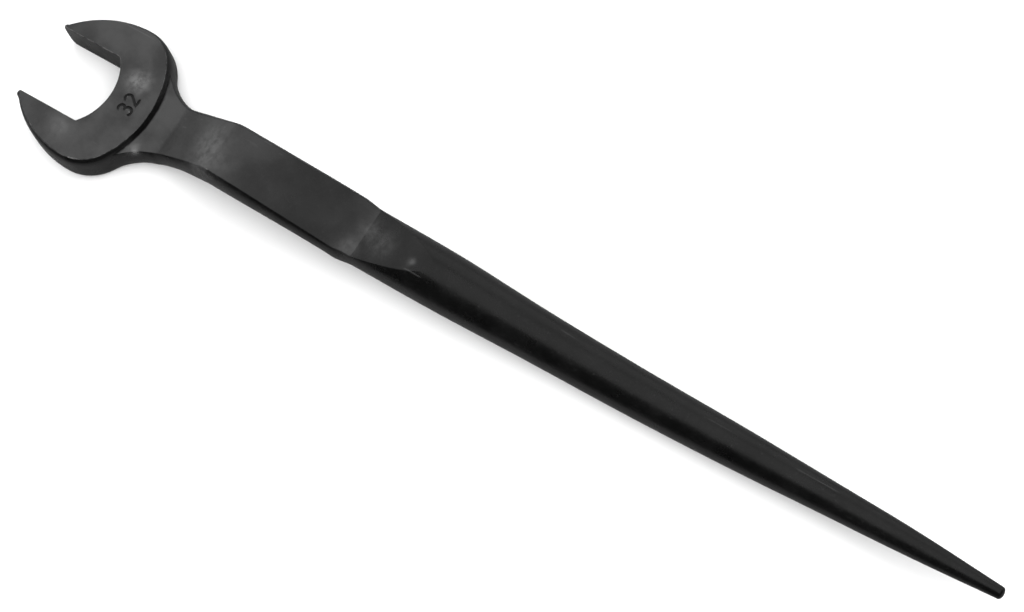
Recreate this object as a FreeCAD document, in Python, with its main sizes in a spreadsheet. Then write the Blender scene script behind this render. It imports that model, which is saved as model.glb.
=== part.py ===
import FreeCAD, Part
import math
import os

import Sketcher

# One-piece forged open-end wrench with an offset head and a tapered drift handle.
# Frame: millimetres, +X from the jaws to the handle's tip, +Z up off the face that the head
# rests on. The origin is the centre of the nut in the jaws, on the head's underside.

SIZES = {
    # jaws and head, seen from above
    "jaw_opening": 32,        # across the two flats: a 1 1/4 in nut with clearance
    "jaw_reach": 21.5,        # nut centre to the jaw tips
    "throat_corner": 9.2,     # nut centre to the corners where the flats end
    "throat_depth": 15.3,     # nut centre to the bottom of the throat
    "head_thickness": 16,
    "head_width": 65.4,       # at mid thickness, where the drafted wall is widest
    "head_back": 36.2,        # nut centre to the back of the head
    "widest_at": 13,          # where the head is widest
    "shoulder_radius": 19.5,
    "jaw_back_radius": 44.9,  # outside curve of each jaw
    "wall_draft": 1.5,        # how far each rim stands in from the middle of the wall
    # blade: neck and flat shank, seen from the side
    "blade_start": 20,
    "root_top": 13.4,
    "root_bottom": 2.2,
    "neck_foot_top": 43,
    "neck_foot_bottom": 40,
    "bend_top_at": 77,
    "bend_top_height": 32.6,
    "bend_bottom_at": 70,
    "bend_bottom_height": 15.6,
    "blade_end": 143,
    "blade_end_top": 22.4,
    "blade_end_bottom": 11.6,
    "bend_rounding": 12,
    # blade seen from above
    "blade_half_width": 13.2,
    "root_half_width": 24,
    "root_arc_radius": 25,
    "root_arc_centre_at": 48.5,
    "waist_at": 130,          # where the blade begins to draw in to the handle
    "waist_radius": 106,
    "blade_edge_rounding": 3,
    # run-out of the flats into the round handle
    "runout_end": 174,
    "runout_end_half_height": 12.6,
    # tip
    "tip_rounding": 1.3,
}

# Handle stations from the blade to the tip: distance along X, radius and height of the centre.
HANDLE = (
    (143, 12.3, 16.8),
    (180, 12.0, 15.0),
    (220, 10.5, 12.0),
    (265, 9.4, 9.8),
    (310, 8.25, 10.6),
    (350, 6.6, 12.0),
    (385, 5.1, 13.0),
    (424.5, 2.4, 13.2),
)

MARGIN = 30  # how far cutting outlines reach past the metal
NODE = "wrench_forging"


def make_sheet(doc):
    """Spreadsheet with every driving dimension, one alias a row."""
    sheet = doc.addObject("Spreadsheet::Sheet", "sizes")
    rows = dict(SIZES)
    for number, (along, radius, height) in enumerate(HANDLE):
        rows[f"handle_at_{number}"] = along
        rows[f"handle_radius_{number}"] = radius
        rows[f"handle_height_{number}"] = height
    for row, (alias, value) in enumerate(rows.items(), start=1):
        sheet.set(f"A{row}", alias)
        sheet.set(f"B{row}", str(value))
        sheet.setAlias(f"B{row}", alias)
    doc.recompute()
    return sheet


def new_sketch(body, name, plane_role):
    """Sketch on one of the body's own origin planes."""
    plane = next(f for f in body.Origin.OriginFeatures if f.Role == plane_role)
    sketch = body.newObject("Sketcher::SketchObject", name)
    sketch.AttachmentSupport = [(plane, "")]
    sketch.MapMode = "FlatFace"
    return sketch


def bind(sketch, kind, references, value, name, expression):
    """Dimension constraint that follows the sheet."""
    sketch.addConstraint(Sketcher.Constraint(kind, *references, value))
    sketch.renameConstraint(sketch.ConstraintCount - 1, name)
    sketch.setExpression(f"Constraints.{name}", expression)


def polygon(sketch, corners):
    """Closed polygon, each corner a pair of (value, expression) for its two coordinates."""
    values = [(across[0], up[0]) for across, up in corners]
    count = len(values)
    for index in range(count):
        start = FreeCAD.Vector(*values[index], 0)
        end = FreeCAD.Vector(*values[(index + 1) % count], 0)
        sketch.addGeometry(Part.LineSegment(start, end), False)
    for index in range(count):
        sketch.addConstraint(Sketcher.Constraint("Coincident", index, 2, (index + 1) % count, 1))
    for index, (across, up) in enumerate(corners):
        bind(sketch, "DistanceX", (-1, 1, index, 1), across[0], f"across_{index}", across[1])
        bind(sketch, "DistanceY", (-1, 1, index, 1), up[0], f"up_{index}", up[1])


def arc(centre, radius, start_deg, end_deg):
    """Counter-clockwise arc in the sketch plane."""
    circle = Part.Circle(FreeCAD.Vector(*centre, 0), FreeCAD.Vector(0, 0, 1), radius)
    return Part.ArcOfCircle(circle, math.radians(start_deg), math.radians(end_deg))


def line(start, end):
    """Straight segment in the sketch plane."""
    return Part.LineSegment(FreeCAD.Vector(*start, 0), FreeCAD.Vector(*end, 0))


def sheet_point(across, up, sheet):
    """The two coordinates, each an alias of the sheet, as (value, expression) pairs."""
    return tuple((getattr(sheet, name), f"sizes.{name}") for name in (across, up))


def fillet(body, base, name, edges, alias):
    """Fillet of the named edges, its radius bound to the sheet."""
    feature = body.newObject("PartDesign::Fillet", name)
    feature.Base = (base, edges)
    feature.setExpression("Radius", f"sizes.{alias}")
    body.Document.recompute()
    return feature


def edges_where(shape, test):
    """Names of the edges whose middle point and direction pass the test."""
    names = []
    for number, edge in enumerate(shape.Edges, start=1):
        middle = (edge.FirstParameter + edge.LastParameter) / 2
        if test(edge.valueAt(middle), edge.tangentAt(middle)):
            names.append(f"Edge{number}")
    return names


def add_blade(doc, body, sheet):
    """Neck and flat shank: the side outline, padded, then trimmed to the outline from above."""
    side = new_sketch(body, "blade_side", "XZ_Plane")
    polygon(side, [
        sheet_point("blade_start", "root_top", sheet),
        sheet_point("neck_foot_top", "root_top", sheet),
        sheet_point("bend_top_at", "bend_top_height", sheet),
        sheet_point("blade_end", "blade_end_top", sheet),
        sheet_point("blade_end", "blade_end_bottom", sheet),
        sheet_point("bend_bottom_at", "bend_bottom_height", sheet),
        sheet_point("neck_foot_bottom", "root_bottom", sheet),
        sheet_point("blade_start", "root_bottom", sheet),
    ])
    pad = body.newObject("PartDesign::Pad", "blade_pad")
    pad.Profile = side
    pad.setExpression("Length", "sizes.head_width")
    pad.Midplane = True
    doc.recompute()

    bends = [
        (sheet.neck_foot_top, sheet.root_top),
        (sheet.bend_top_at, sheet.bend_top_height),
        (sheet.bend_bottom_at, sheet.bend_bottom_height),
        (sheet.neck_foot_bottom, sheet.root_bottom),
    ]

    def at_bend(point, _direction):
        return any(math.hypot(point.x - x, point.z - z) < 0.01 for x, z in bends)

    rounded = fillet(body, pad, "blade_bends", edges_where(pad.Shape, at_bend), "bend_rounding")
    before = rounded.Shape.Volume
    trim = trim_blade(doc, body, sheet)
    if trim.Shape.Volume > 0.9 * before:
        raise RuntimeError("the trim from above removed too little")

    def long_edge(point, direction):
        on_side = abs(point.y) > sheet.blade_half_width - 1.2
        return on_side and abs(direction.z) < 0.95 and point.x > sheet.blade_start + 9

    long_edges = edges_where(trim.Shape, long_edge)
    return fillet(body, trim, "blade_edges", long_edges, "blade_edge_rounding")


def trim_blade(doc, body, sheet):
    """Cut away both sides of the padded neck and shank, along the outline from above."""
    half = sheet.blade_half_width
    arc_x = sheet.root_arc_centre_at
    arc_y = half + sheet.root_arc_radius
    start_y = sheet.root_half_width
    start_deg = 180 + math.degrees(math.asin((arc_y - start_y) / sheet.root_arc_radius))
    start_x = arc_x + sheet.root_arc_radius * math.cos(math.radians(start_deg))
    waist_y = half - sheet.waist_radius
    past_end = sheet.blade_end + 1
    end_deg = math.degrees(math.acos((past_end - sheet.waist_at) / sheet.waist_radius))
    end_y = waist_y + sheet.waist_radius * math.sin(math.radians(end_deg))
    outside = start_y + MARGIN
    inside = sheet.blade_start - 1
    for side in (1, -1):
        label = "left" if side == 1 else "right"
        sketch = new_sketch(body, f"blade_trim_{label}", "XY_Plane")
        root_arc = (start_deg, 270) if side == 1 else (90, 360 - start_deg)
        waist_arc = (end_deg, 90) if side == 1 else (270, 360 - end_deg)
        pieces = [
            line((inside, side * start_y), (start_x, side * start_y)),
            arc((arc_x, side * arc_y), sheet.root_arc_radius, *root_arc),
            line((arc_x, side * half), (sheet.waist_at, side * half)),
            arc((sheet.waist_at, side * waist_y), sheet.waist_radius, *waist_arc),
            line((past_end, side * end_y), (past_end, side * outside)),
            line((past_end, side * outside), (inside, side * outside)),
            line((inside, side * outside), (inside, side * start_y)),
        ]
        sketch.addGeometry(pieces, False)
        root_ends = (1, 2) if side == 1 else (2, 1)
        waist_ends = (2, 1) if side == 1 else (1, 2)
        joints = [
            (0, 2, 1, root_ends[0]),
            (1, root_ends[1], 2, 1),
            (2, 2, 3, waist_ends[0]),
            (3, waist_ends[1], 4, 1),
            (4, 2, 5, 1),
            (5, 2, 6, 1),
            (6, 2, 0, 1),
        ]
        for joint in joints:
            sketch.addConstraint(Sketcher.Constraint("Coincident", *joint))
        bind(sketch, "Radius", (1,), sheet.root_arc_radius, "root_arc", "sizes.root_arc_radius")
        bind(sketch, "Radius", (3,), sheet.waist_radius, "waist_arc", "sizes.waist_radius")
        trim = body.newObject("PartDesign::Pocket", f"blade_cut_{label}")
        trim.Profile = sketch
        trim.Type = "ThroughAll"
        trim.Reversed = True
        doc.recompute()
    return trim


def add_handle(doc, body, sheet):
    """Round tapered handle lofted through its stations, with the flats run out into it."""
    circles = []
    for number, (along, radius, height) in enumerate(HANDLE):
        sketch = new_sketch(body, f"handle_section_{number}", "YZ_Plane")
        sketch.AttachmentOffset = FreeCAD.Placement(FreeCAD.Vector(0, 0, along), FreeCAD.Rotation())
        sketch.setExpression("AttachmentOffset.Base.z", f"sizes.handle_at_{number}")
        centre = FreeCAD.Vector(0, height, 0)
        sketch.addGeometry(Part.Circle(centre, FreeCAD.Vector(0, 0, 1), radius), False)
        sketch.addConstraint(Sketcher.Constraint("PointOnObject", 0, 3, -2))
        bind(sketch, "DistanceY", (-1, 1, 0, 3), height, "height", f"sizes.handle_height_{number}")
        bind(sketch, "Radius", (0,), radius, "radius", f"sizes.handle_radius_{number}")
        circles.append(sketch)
    loft = body.newObject("PartDesign::AdditiveLoft", "handle")
    loft.Profile = circles[0]
    loft.Sections = circles[1:]
    doc.recompute()

    middle = "sizes.handle_height_0"
    reach = "sizes.runout_end_half_height"
    middle_value = sheet.handle_height_0
    reach_value = sheet.runout_end_half_height
    far = middle_value + MARGIN
    near = middle_value - MARGIN
    runouts = (
        ("top", "blade_end_top", (middle_value + reach_value, f"{middle} + {reach}"), far),
        ("bottom", "blade_end_bottom", (middle_value - reach_value, f"{middle} - {reach}"), near),
    )
    for label, start_height, end_height, beyond in runouts:
        wedge = new_sketch(body, f"runout_{label}", "XZ_Plane")
        blade_end = (sheet.blade_end, "sizes.blade_end")
        runout_end = (sheet.runout_end, "sizes.runout_end")
        polygon(wedge, [
            sheet_point("blade_end", start_height, sheet),
            (runout_end, end_height),
            (runout_end, (beyond, str(beyond))),
            (blade_end, (beyond, str(beyond))),
        ])
        before = body.Tip.Shape.Volume
        cut = body.newObject("PartDesign::Pocket", f"runout_cut_{label}")
        cut.Profile = wedge
        cut.setExpression("Length", "sizes.head_width")
        cut.Midplane = True
        doc.recompute()
        if cut.Shape.Volume >= before:
            raise RuntimeError(f"the {label} run-out cut nothing")

    def at_tip(point, _direction):
        return point.x > HANDLE[-1][0] - 0.01

    tip = edges_where(body.Tip.Shape, at_tip)
    return fillet(body, body.Tip, "tip_round", tip, "tip_rounding")


def add_head(doc, body, sheet):
    """Head blank from its outline of arcs, its rims rounded, and the open jaw cut through it."""
    half = sheet.head_width / 2
    widest = sheet.widest_at
    shoulder = sheet.shoulder_radius
    shoulder_y = half - shoulder
    back_run = sheet.head_back - widest
    # The back arc, centred on the X axis, ends tangent to both shoulder arcs.
    back = (back_run ** 2 + shoulder_y ** 2 - shoulder ** 2) / (2 * (back_run - shoulder))
    back_x = sheet.head_back - back
    turn = math.degrees(math.atan2(shoulder_y, widest - back_x))
    jaw = sheet.jaw_back_radius
    jaw_y = half - jaw
    tip_deg = math.degrees(math.acos((-sheet.jaw_reach - widest) / jaw))
    tip_y = jaw_y + jaw * math.sin(math.radians(tip_deg))

    outline = new_sketch(body, "head_outline", "XY_Plane")
    outline.addGeometry([
        arc((back_x, 0), back, -turn, turn),
        arc((widest, shoulder_y), shoulder, turn, 90),
        arc((widest, jaw_y), jaw, 90, tip_deg),
        line((-sheet.jaw_reach, tip_y), (-sheet.jaw_reach, -tip_y)),
        arc((widest, -jaw_y), jaw, 360 - tip_deg, 270),
        arc((widest, -shoulder_y), shoulder, 270, 360 - turn),
    ], False)
    for index in range(6):
        outline.addConstraint(Sketcher.Constraint("Coincident", index, 2, (index + 1) % 6, 1))
    bind(outline, "Radius", (1,), shoulder, "shoulder", "sizes.shoulder_radius")
    bind(outline, "Radius", (2,), jaw, "jaw_back", "sizes.jaw_back_radius")
    bind(outline, "DistanceX", (-1, 1, 3, 1), -sheet.jaw_reach, "reach", "-sizes.jaw_reach")
    outline.AttachmentOffset = FreeCAD.Placement(
        FreeCAD.Vector(0, 0, sheet.head_thickness / 2), FreeCAD.Rotation())
    outline.setExpression("AttachmentOffset.Base.z", "sizes.head_thickness / 2")
    pad = body.newObject("PartDesign::Pad", "head_pad")
    pad.Profile = outline
    pad.SideType = "Two sides"
    for length, taper in (("Length", "TaperAngle"), ("Length2", "TaperAngle2")):
        pad.setExpression(length, "sizes.head_thickness / 2")
        pad.setExpression(taper, "-atan(2 * sizes.wall_draft / sizes.head_thickness)")
    doc.recompute()
    rim_y = half - sheet.wall_draft
    for face in pad.Shape.Faces:
        box = face.BoundBox
        if box.ZMin > sheet.head_thickness - 0.01 and box.ZLength < 0.01:
            if box.YLength > 2 * shoulder_y and abs(box.YLength / 2 - rim_y) > 0.3:
                raise RuntimeError(f"the head's rim is {box.YLength / 2:.2f} mm out, not {rim_y}")

    opening = sheet.jaw_opening / 2
    corner = sheet.throat_corner
    depth = sheet.throat_depth
    throat = (opening ** 2 + (depth - corner) ** 2) / (2 * (depth - corner))
    throat_x = depth - throat
    corner_deg = math.degrees(math.asin(opening / throat))
    mouth = -sheet.jaw_reach - MARGIN
    jaw_cut = new_sketch(body, "jaw_outline", "XY_Plane")
    jaw_cut.addGeometry([
        line((mouth, -opening), (corner, -opening)),
        arc((throat_x, 0), throat, -corner_deg, corner_deg),
        line((corner, opening), (mouth, opening)),
        line((mouth, opening), (mouth, -opening)),
    ], False)
    for index in range(4):
        jaw_cut.addConstraint(Sketcher.Constraint("Coincident", index, 2, (index + 1) % 4, 1))
    for index, name, side in ((0, "lower_flat", "-"), (2, "upper_flat", "")):
        value = -opening if side else opening
        jaw_cut.addConstraint(Sketcher.Constraint("Horizontal", index))
        bind(jaw_cut, "DistanceY", (-1, 1, index, 2), value, name, f"{side}sizes.jaw_opening / 2")
    bind(jaw_cut, "DistanceX", (-1, 1, 0, 2), corner, "corner", "sizes.throat_corner")
    before = pad.Shape.Volume
    cut = body.newObject("PartDesign::Pocket", "jaw_cut")
    cut.Profile = jaw_cut
    cut.Type = "ThroughAll"
    cut.Reversed = True
    doc.recompute()
    if cut.Shape.Volume >= before:
        raise RuntimeError("the jaw cut removed nothing")
    return cut


def check(doc, body):
    """Stop if any object failed or the finished shape isn't one valid solid."""
    for item in doc.Objects:
        if {"Invalid", "Error"} & set(item.State):
            raise RuntimeError(f"{item.Name} did not compute: {item.State}")
    shape = body.Shape
    if shape.isNull() or not shape.isValid() or len(shape.Solids) != 1:
        raise RuntimeError("the forging isn't one valid solid")


def main():
    doc = FreeCAD.newDocument("wrench")
    sheet = make_sheet(doc)
    body = doc.addObject("PartDesign::Body", NODE)
    body.Label = NODE
    body.Placement = FreeCAD.Placement()
    add_blade(doc, body, sheet)
    add_handle(doc, body, sheet)
    body.Tip = add_head(doc, body, sheet)
    doc.recompute()
    check(doc, body)
    os.makedirs("parts", exist_ok=True)
    body.Shape.exportStep(f"parts/{NODE}.step")
    box = body.Shape.BoundBox
    print(f"{NODE}: {body.Shape.Volume / 1000:.1f} cm3, "
          f"{box.XLength:.1f} x {box.YLength:.1f} x {box.ZLength:.1f} mm, "
          f"lowest {box.ZMin:.2f}")


main()
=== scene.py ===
import logging
from dataclasses import dataclass, field
from enum import Enum
from typing import Sequence

import bmesh
import bpy
import numpy as np
from mathutils import Matrix, Vector


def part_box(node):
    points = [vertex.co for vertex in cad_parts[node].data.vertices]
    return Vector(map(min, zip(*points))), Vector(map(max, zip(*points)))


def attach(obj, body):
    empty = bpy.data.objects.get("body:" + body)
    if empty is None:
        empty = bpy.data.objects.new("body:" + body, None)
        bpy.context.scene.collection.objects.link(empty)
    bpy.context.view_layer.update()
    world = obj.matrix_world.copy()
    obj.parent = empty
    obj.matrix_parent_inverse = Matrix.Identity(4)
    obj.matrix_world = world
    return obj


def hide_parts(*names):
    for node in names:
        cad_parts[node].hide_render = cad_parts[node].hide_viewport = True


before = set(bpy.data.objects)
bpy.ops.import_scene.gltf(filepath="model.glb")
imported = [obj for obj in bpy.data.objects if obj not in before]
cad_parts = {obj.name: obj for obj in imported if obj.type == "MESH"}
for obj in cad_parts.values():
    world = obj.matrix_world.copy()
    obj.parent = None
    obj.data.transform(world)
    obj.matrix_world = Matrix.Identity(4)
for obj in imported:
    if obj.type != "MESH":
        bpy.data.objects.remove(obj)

Array = np.ndarray
MM = 0.001
NODE = "wrench_forging"

log = logging.getLogger("wrench")


class Side(Enum):
    """The two faces of the forging that lie across the nut's axis."""

    TOP = 1
    BOTTOM = -1


# ---------------------------------------------------------------- curves and surfaces


def smooth_step(low: float, high: float, value: Array) -> Array:
    """Ease from 0 to 1: t squared times (3 - 2 t), where t runs from low to high.

    Args:
        low: where the ease is 0.
        high: where the ease is 1.
        value: where to work it out.

    Returns:
        The eased share at each value.
    """
    t = np.clip((value - low) / (high - low), 0.0, 1.0)
    return t * t * (3.0 - 2.0 * t)


def blend_max(a: Array, b: Array, width: float) -> Array:
    """Larger of two, its corner rounded: half of (a + b + root of ((a - b)^2 + width^2))."""
    return 0.5 * (a + b + np.sqrt((a - b) ** 2 + width**2))


def blend_min(a: Array, b: Array, width: float) -> Array:
    """Smaller of two, its corner rounded: half of (a + b - root of ((a - b)^2 + width^2))."""
    return 0.5 * (a + b - np.sqrt((a - b) ** 2 + width**2))


def through(stations: Sequence[tuple[float, float]], at: Array) -> Array:
    """Smooth curve through stations: a cubic Hermite whose slopes are the mean of its neighbours'.

    Args:
        stations: (place, value) pairs in order of place.
        at: places to work the curve out at; past the ends the end value holds.

    Returns:
        The curve's value at each place.
    """
    x, y = np.array(stations, float).T
    slope = np.gradient(y, x)
    at = np.clip(at, x[0], x[-1])
    i = np.clip(np.searchsorted(x, at, side="right") - 1, 0, len(x) - 2)
    run = x[i + 1] - x[i]
    t = (at - x[i]) / run
    return (
        (2 * t**3 - 3 * t**2 + 1) * y[i]
        + (t**3 - 2 * t**2 + t) * run * slope[i]
        + (3 * t**2 - 2 * t**3) * y[i + 1]
        + (t**3 - t**2) * run * slope[i + 1]
    )


def stretch(*spans: tuple[float, float, float]) -> Array:
    """Places along a line, at a spacing of its own in each span.

    Args:
        spans: (start, end, spacing) of each span; one span's end is the next one's start.

    Returns:
        The places in order, each once.
    """
    runs = [np.linspace(a, b, max(2, round((b - a) / step) + 1))[:-1] for a, b, step in spans]
    return np.append(np.concatenate(runs), spans[-1][1])


def corner_curve(before: Array, corner: Array, after: Array, count: int) -> Array:
    """Rounded corner: the quadratic curve (1-t)^2 before + 2 t (1-t) corner + t^2 after.

    Args:
        before: where the rounding starts, one point a row.
        corner: the sharp corner that it stands for.
        after: where the rounding ends.
        count: points along the curve, both ends counted.

    Returns:
        An array of shape (rows, count, coordinates).
    """
    t = np.linspace(0.0, 1.0, count)[None, :, None]
    return (
        (1 - t) ** 2 * before[:, None] + 2 * t * (1 - t) * corner[:, None] + t**2 * after[:, None]
    )


def tube_object(name: str, rings: Array, capped: bool = True) -> bpy.types.Object:
    """Closed skin over a row of rings, in metres.

    Args:
        name: the object's name.
        rings: points in millimetres, of shape (rings, points round a ring, 3).
        capped: whether a fan closes each end; without it the end rings meet their own far side.

    Returns:
        The object, linked to the scene, its faces pointing outwards.
    """
    count, around, _ = rings.shape
    points = np.concatenate([rings.reshape(-1, 3), rings[[0, -1]].mean(axis=1)]) * MM
    index = np.arange(count * around).reshape(count, around)
    along = np.roll(index, -1, axis=1)
    quads = np.stack([index[:-1], index[1:], along[1:], along[:-1]], axis=-1).reshape(-1, 4)
    start, end = count * around, count * around + 1
    first = np.stack([index[0], along[0], np.full(around, start)], axis=-1)
    last = np.stack([along[-1], index[-1], np.full(around, end)], axis=-1)
    mesh = bpy.data.meshes.new(name)
    caps = first.tolist() + last.tolist() if capped else []
    mesh.from_pydata(points.tolist(), [], quads.tolist() + caps)
    piece = bpy.data.objects.new(name, mesh)
    bpy.context.scene.collection.objects.link(piece)
    clean(mesh)
    return piece


def clean(mesh: bpy.types.Mesh, merge: float = 0.002 * MM) -> None:
    """Merge doubled points, drop faces with no area and point the rest outwards.

    Args:
        mesh: the mesh to clean.
        merge: points closer than this become one.
    """
    work = bmesh.new()
    work.from_mesh(mesh)
    bmesh.ops.remove_doubles(work, verts=work.verts, dist=merge)
    bmesh.ops.dissolve_degenerate(work, edges=work.edges, dist=merge)
    loose = [vert for vert in work.verts if not vert.link_faces]
    bmesh.ops.delete(work, geom=loose, context="VERTS")
    bmesh.ops.recalc_face_normals(work, faces=work.faces)
    work.to_mesh(mesh)
    work.free()


def mesh_points(mesh: bpy.types.Mesh) -> Array:
    """All the mesh's points, one a row, in metres."""
    flat = np.empty(len(mesh.vertices) * 3)
    mesh.vertices.foreach_get("co", flat)
    return flat.reshape(-1, 3)


def mesh_normals(mesh: bpy.types.Mesh) -> Array:
    """All the mesh's point normals, one a row."""
    flat = np.empty(len(mesh.vertices) * 3, dtype=np.float32)
    mesh.vertex_normals.foreach_get("vector", flat)
    return flat.reshape(-1, 3).astype(float)


# ---------------------------------------------------------------- the forging's shape


@dataclass(frozen=True)
class Wall:
    """The head's outer wall: barrel-shaped from rim to rim, widest where the two dies met."""

    height: float
    barrel: float = 1.42
    fullness: float = 5.0
    sweep: float = np.radians(64)

    def bulge(self, turn: Array) -> Array:
        """How far the wall stands out of the rims: barrel (1 - |sin turn / sin sweep|^fullness).

        Args:
            turn: angle up the wall, from minus sweep at the lower rim to sweep at the upper one.

        Returns:
            The distance in millimetres.
        """
        share = np.abs(np.sin(turn) / np.sin(self.sweep))
        return self.barrel * (1 - share**self.fullness)

    def level(self, turn: float, rim: Array) -> Array:
        """Height on the wall: half height plus (half height - rim) sin turn / sin sweep."""
        half = self.height / 2
        return half + (half - rim) * np.sin(turn) / np.sin(self.sweep)


@dataclass
class Head:
    """Open jaw: a C of even thickness, swept from one jaw tip round the throat to the other."""

    height: float
    opening: float = 32.0
    tip_at: float = -18.6
    throat_corner: float = 9.2
    throat_depth: float = 15.3
    rim_half_width: float = 31.2
    widest_at: float = 13.0
    back_at: float = 34.7
    shoulder_radius: float = 18.0
    jaw_back_radius: float = 43.4
    outer_rim: float = 0.42
    inner_rim: float = 0.3
    lean_reach: float = 7.0
    across: int = 16
    up_wall: int = 19
    on_corner: int = 4

    @property
    def shoulder_y(self) -> float:
        """Sideways place of a shoulder arc's centre."""
        return self.rim_half_width - self.shoulder_radius

    @property
    def back_radius(self) -> float:
        """Radius of the arc across the back, centred on the X axis, tangent to both shoulders."""
        run = self.back_at - self.widest_at
        gap = run - self.shoulder_radius
        return (run**2 + self.shoulder_y**2 - self.shoulder_radius**2) / (2 * gap)

    @property
    def back_centre(self) -> float:
        """Place of the back arc's centre along X."""
        return self.back_at - self.back_radius

    def outside(self, points: Array) -> Array:
        """Distance outwards from the rim's outline, over its back and shoulder arcs.

        Args:
            points: X and Y in millimetres, one point a row.

        Returns:
            Distance from the nearer arc's centre, less that arc's radius.
        """
        x, y = points[:, 0], np.abs(points[:, 1])
        turn = np.arctan2(self.shoulder_y, self.widest_at - self.back_centre)
        on_back = np.arctan2(y, x - self.back_centre) < turn
        back = np.hypot(x - self.back_centre, y) - self.back_radius
        shoulder = np.hypot(x - self.widest_at, y - self.shoulder_y) - self.shoulder_radius
        return np.where(on_back, back, shoulder)

    def outer_half(self, flat_share: Array, throat_share: Array) -> tuple[Array, Array]:
        """Rim outline from a jaw's tip to the middle of the back, on the +Y side.

        The jaw's back is an arc about (widest_at, rim_half_width - jaw_back_radius); the shoulder
        and back arcs follow, tangent to it and to each other.

        Args:
            flat_share: shares from 0 to 1 along the jaw's back.
            throat_share: shares from 0 to 1 along the shoulder and the back.

        Returns:
            The outline's points and its outward normals, one a row.
        """
        jaw_y = self.rim_half_width - self.jaw_back_radius
        tip = np.arccos((self.tip_at - self.widest_at) / self.jaw_back_radius)
        jaw_turn = tip + (np.pi / 2 - tip) * flat_share
        jaw_normal = np.stack([np.cos(jaw_turn), np.sin(jaw_turn)], axis=1)
        jaw = np.array([self.widest_at, jaw_y]) + self.jaw_back_radius * jaw_normal

        turn = np.arctan2(self.shoulder_y, self.widest_at - self.back_centre)
        lengths = np.array([self.shoulder_radius * (np.pi / 2 - turn), self.back_radius * turn])
        knee = lengths[0] / lengths.sum()
        bearing = np.interp(throat_share, [0, knee, 1], [np.pi / 2, turn, 0])
        normal = np.stack([np.cos(bearing), np.sin(bearing)], axis=1)
        on_shoulder = (throat_share < knee)[:, None]
        shoulder = np.array([self.widest_at, self.shoulder_y]) + self.shoulder_radius * normal
        back = np.array([self.back_centre, 0.0]) + self.back_radius * normal
        rest = np.where(on_shoulder, shoulder, back)
        return np.concatenate([jaw, rest]), np.concatenate([jaw_normal, normal])

    def inner_half(self, flat_share: Array, throat_share: Array) -> tuple[Array, Array]:
        """Opening from a jaw's tip to the bottom of the throat, on the +Y side.

        A straight flat runs to the corner, then one arc through both corners and the throat's
        bottom.

        Args:
            flat_share: shares from 0 to 1 along the flat.
            throat_share: shares from 0 to 1 along the throat.

        Returns:
            The opening's points and the normals that point out of the metal, one a row.
        """
        half = self.opening / 2
        deep = self.throat_depth - self.throat_corner
        radius = (half**2 + deep**2) / (2 * deep)
        centre = self.throat_depth - radius
        flat_x = self.tip_at + (self.throat_corner - self.tip_at) * flat_share
        flat = np.stack([flat_x, np.full_like(flat_x, half)], axis=1)
        flat_normal = np.tile([0.0, -1.0], (len(flat_x), 1))
        bearing = np.arcsin(half / radius) * (1 - throat_share)
        normal = np.stack([np.cos(bearing), np.sin(bearing)], axis=1)
        throat = np.array([centre, 0.0]) + radius * normal
        return np.concatenate([flat, throat]), np.concatenate([flat_normal, -normal])

    def half_outlines(self) -> tuple[Array, Array, Array, Array]:
        """Matching points and normals of the rim and the opening on the +Y side."""
        flat_share = stretch((0, 0.06, 0.012), (0.06, 0.9, 0.028), (0.9, 0.985, 0.017))
        throat_share = stretch((0.012, 0.1, 0.02), (0.1, 1, 0.0205))
        outer, outer_normal = self.outer_half(flat_share, throat_share)
        inner, inner_normal = self.inner_half(flat_share, throat_share)
        return outer, outer_normal, inner, inner_normal

    def rings(self) -> Array:
        """Rings across the C, each up the opening's wall, over the face, down the barrel wall
        and back under, from the +Y jaw's tip to the -Y one's.

        Returns:
            Points in millimetres, of shape (rings, points round a ring, 3).
        """
        mirror = np.array([1.0, -1.0])
        outer, outer_normal, inner, inner_normal = (
            np.concatenate([half, half[-2::-1] * mirror]) for half in self.half_outlines()
        )
        wall = Wall(self.height)
        width = np.linalg.norm(outer - inner, axis=1)
        rim = np.minimum(self.outer_rim, 0.3 * width)[:, None]
        lip = np.minimum(self.inner_rim, 0.3 * width)[:, None]
        turn = np.linspace(-wall.sweep, wall.sweep, self.up_wall)
        from_tip = np.minimum(np.hypot(*(inner - inner[0]).T), np.hypot(*(inner - inner[-1]).T))
        lean = np.clip(1 - from_tip / self.lean_reach, 0, 1)
        outer_wall, inner_wall = [], []
        for bulge, level in zip(wall.bulge(turn), turn):
            barrel = outer + outer_normal * bulge
            leaning = inner - np.column_stack([bulge * lean, np.zeros_like(lean)])
            outer_wall.append(self.level_points(barrel, wall.level(level, rim[:, 0])))
            inner_wall.append(self.level_points(leaning, wall.level(level, lip[:, 0])))

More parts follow.
